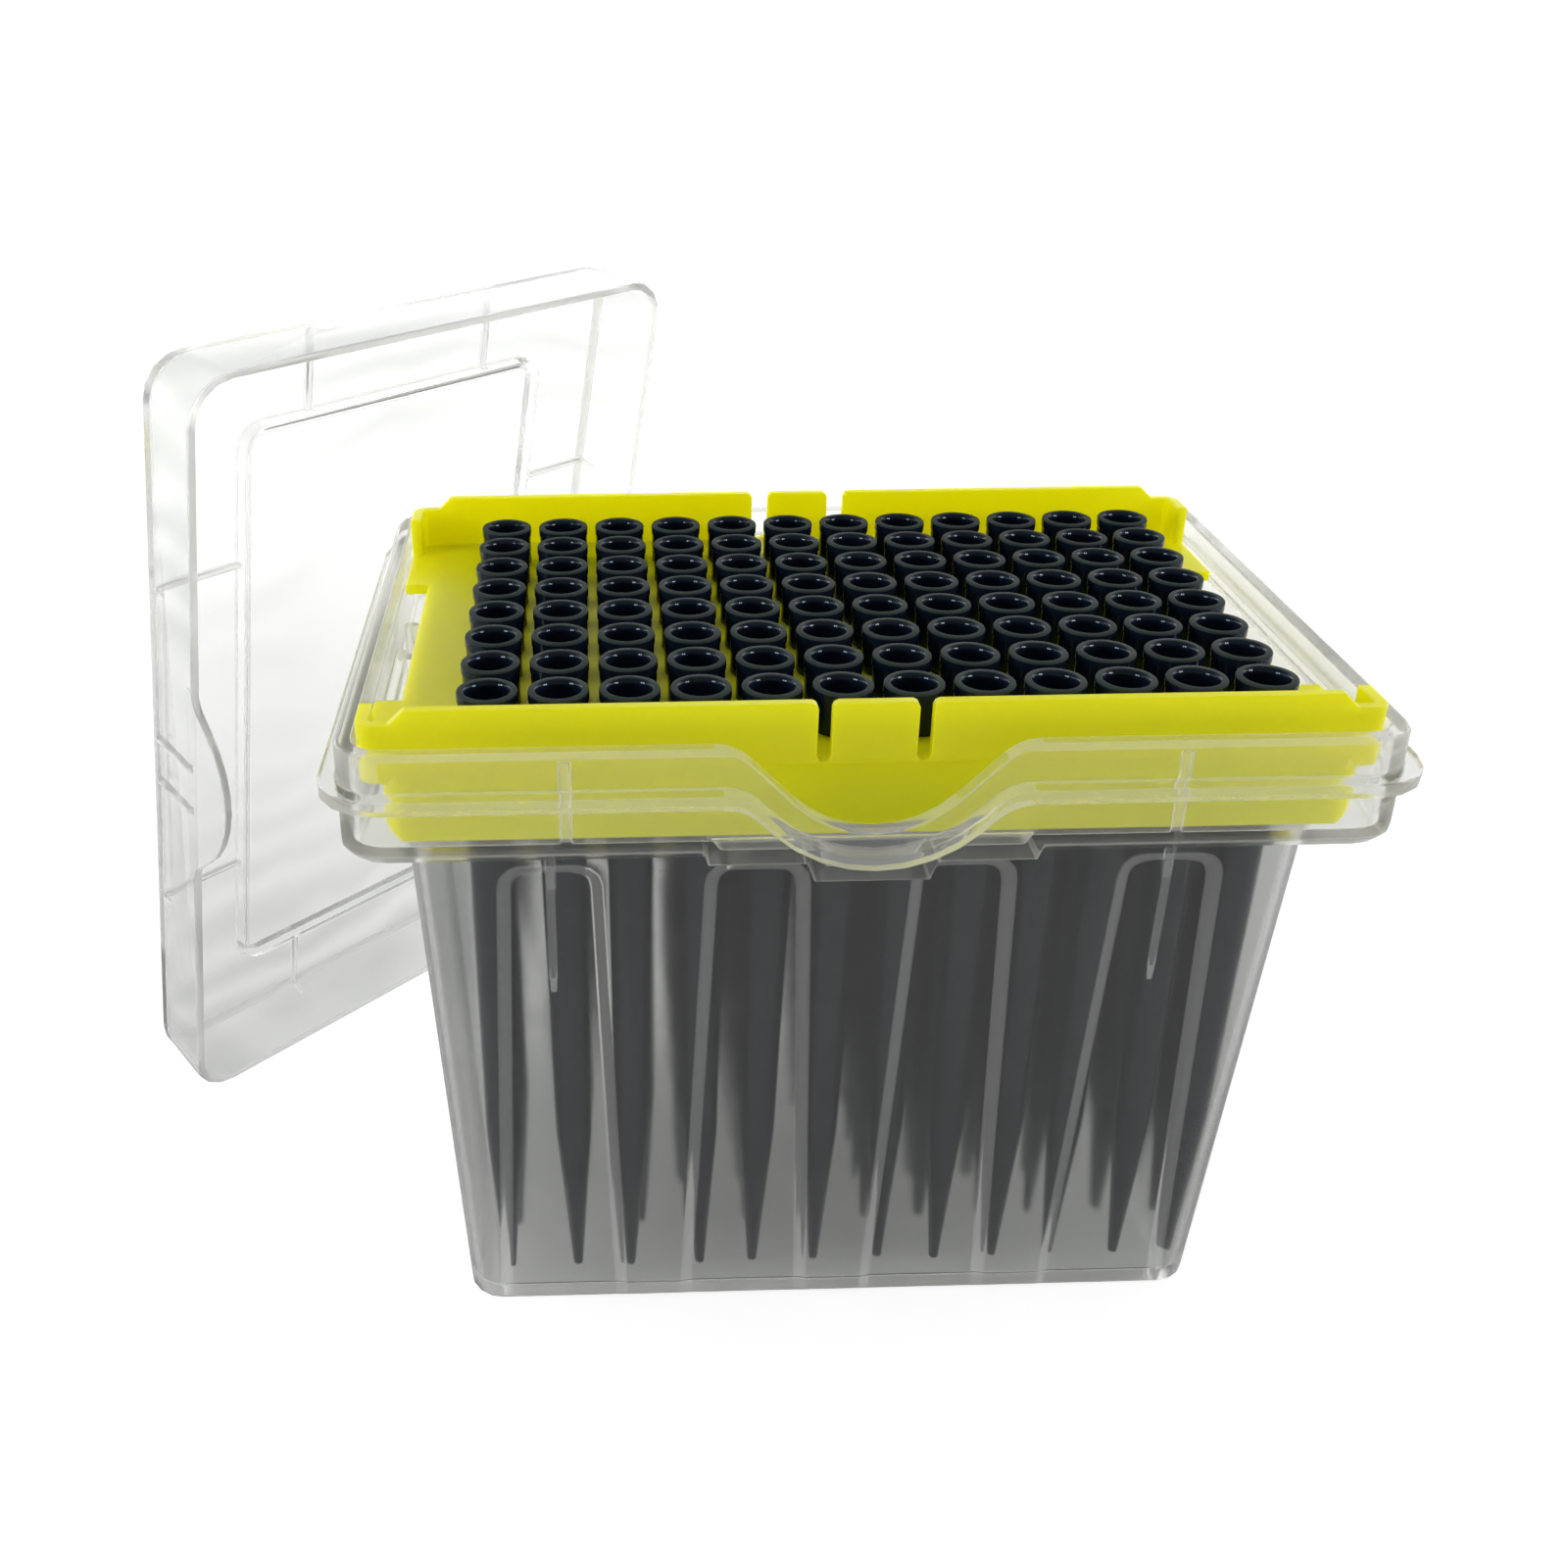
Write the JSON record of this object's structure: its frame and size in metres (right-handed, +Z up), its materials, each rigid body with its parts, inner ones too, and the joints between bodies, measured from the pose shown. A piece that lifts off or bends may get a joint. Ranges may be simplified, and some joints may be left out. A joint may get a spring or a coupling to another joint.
{
  "type": "box of pipette tips",
  "caption": "Open clear plastic box with a perforated tray of slender black pipette tips in a grid, and its shallow clear lid leaning on one corner.",
  "frame": {"origin": "middle of the base's foot, on the surface it stands on", "axes": "+Z up; +X along the twelve columns from column 1 to column 12; +Y along the eight rows from row H to row A, so -Y is the latch side"},
  "size_m": [0.1812, 0.1397, 0.134],
  "materials": {
    "clear_plastic": "smooth, translucent",
    "yellow_plastic": "satin",
    "black_plastic": "satin to glossy"
  },
  "bodies": {
    "root": {"base": "clear_plastic", "tip_tray": "yellow_plastic", "lid": "clear_plastic", "tip_A1": "black_plastic", "tip_B1": "black_plastic", "tip_C1": "black_plastic", "tip_D1": "black_plastic", "tip_E1": "black_plastic", "tip_F1": "black_plastic", "tip_G1": "black_plastic", "tip_H1": "black_plastic", "tip_A2": "black_plastic", "tip_B2": "black_plastic", "tip_G2": "black_plastic", "tip_H2": "black_plastic", "tip_A3": "black_plastic", "tip_B3": "black_plastic", "tip_G3": "black_plastic", "tip_H3": "black_plastic", "tip_A4": "black_plastic", "tip_B4": "black_plastic", "tip_G4": "black_plastic", "tip_H4": "black_plastic", "tip_A5": "black_plastic", "tip_B5": "black_plastic", "tip_G5": "black_plastic", "tip_H5": "black_plastic", "tip_A6": "black_plastic", "tip_B6": "black_plastic", "tip_G6": "black_plastic", "tip_H6": "black_plastic", "tip_A7": "black_plastic", "tip_B7": "black_plastic", "tip_G7": "black_plastic", "tip_H7": "black_plastic", "tip_A8": "black_plastic", "tip_B8": "black_plastic", "tip_G8": "black_plastic", "tip_H8": "black_plastic", "tip_A9": "black_plastic", "tip_B9": "black_plastic", "tip_G9": "black_plastic", "tip_H9": "black_plastic", "tip_A10": "black_plastic", "tip_B10": "black_plastic", "tip_G10": "black_plastic", "tip_H10": "black_plastic", "tip_A11": "black_plastic", "tip_B11": "black_plastic", "tip_G11": "black_plastic", "tip_H11": "black_plastic", "tip_A12": "black_plastic", "tip_B12": "black_plastic", "tip_C12": "black_plastic", "tip_D12": "black_plastic", "tip_E12": "black_plastic", "tip_F12": "black_plastic", "tip_G12": "black_plastic", "tip_H12": "black_plastic"}
  },
  "joints": []
}
